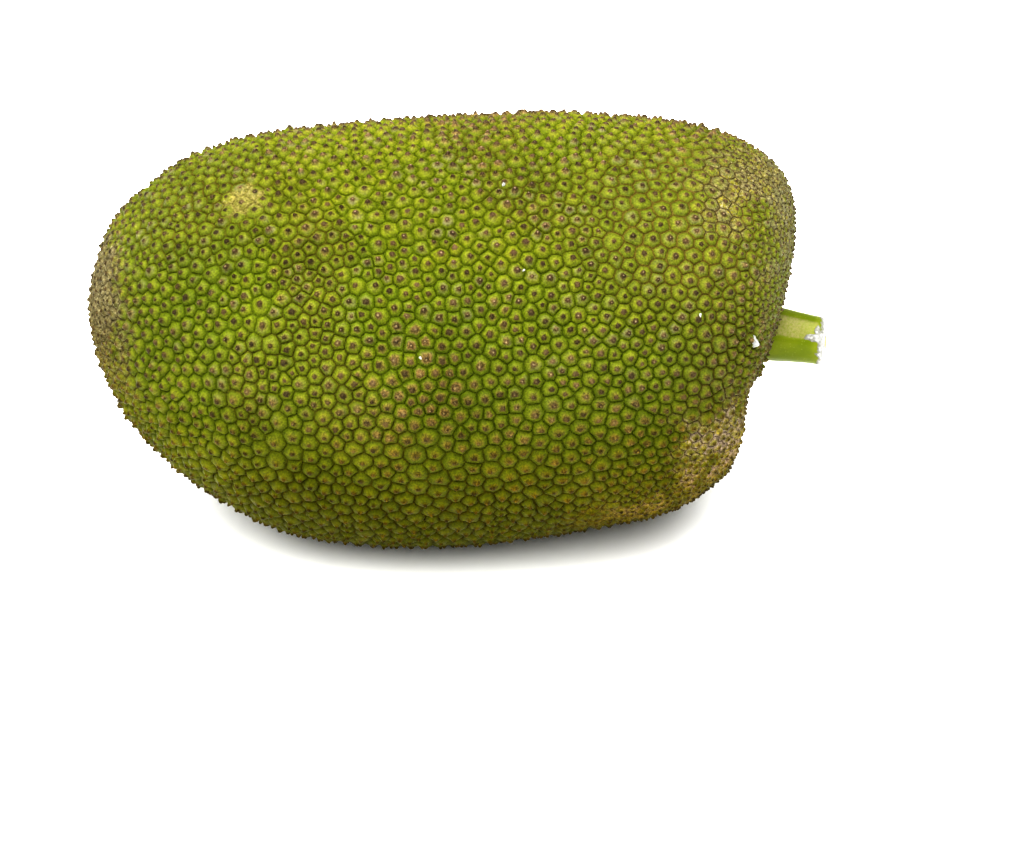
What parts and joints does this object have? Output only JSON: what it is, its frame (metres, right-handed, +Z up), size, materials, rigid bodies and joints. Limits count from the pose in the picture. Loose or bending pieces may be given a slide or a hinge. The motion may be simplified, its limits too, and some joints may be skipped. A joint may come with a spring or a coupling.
{
  "type": "jackfruit",
  "caption": "Whole jackfruit lying on its side: a large oval fruit with a knobbly green rind, a blunt slanted stem end and a short cut stem.",
  "frame": {"origin": "on the surface it rests on, at the bottom centre of the whole row's box", "axes": "+X along the fruit from its blossom end towards the stem, +Y to the fruit's back, +Z up as it lies"},
  "size_m": [0.3722, 0.213, 0.2134],
  "materials": {
    "rind": "bumpy yellow-green rind, slight sheen",
    "stem_skin": "smooth, glossy, yellow-green"
  },
  "bodies": {
    "root": {"fruit": "rind", "stem": "stem_skin"}
  },
  "joints": []
}
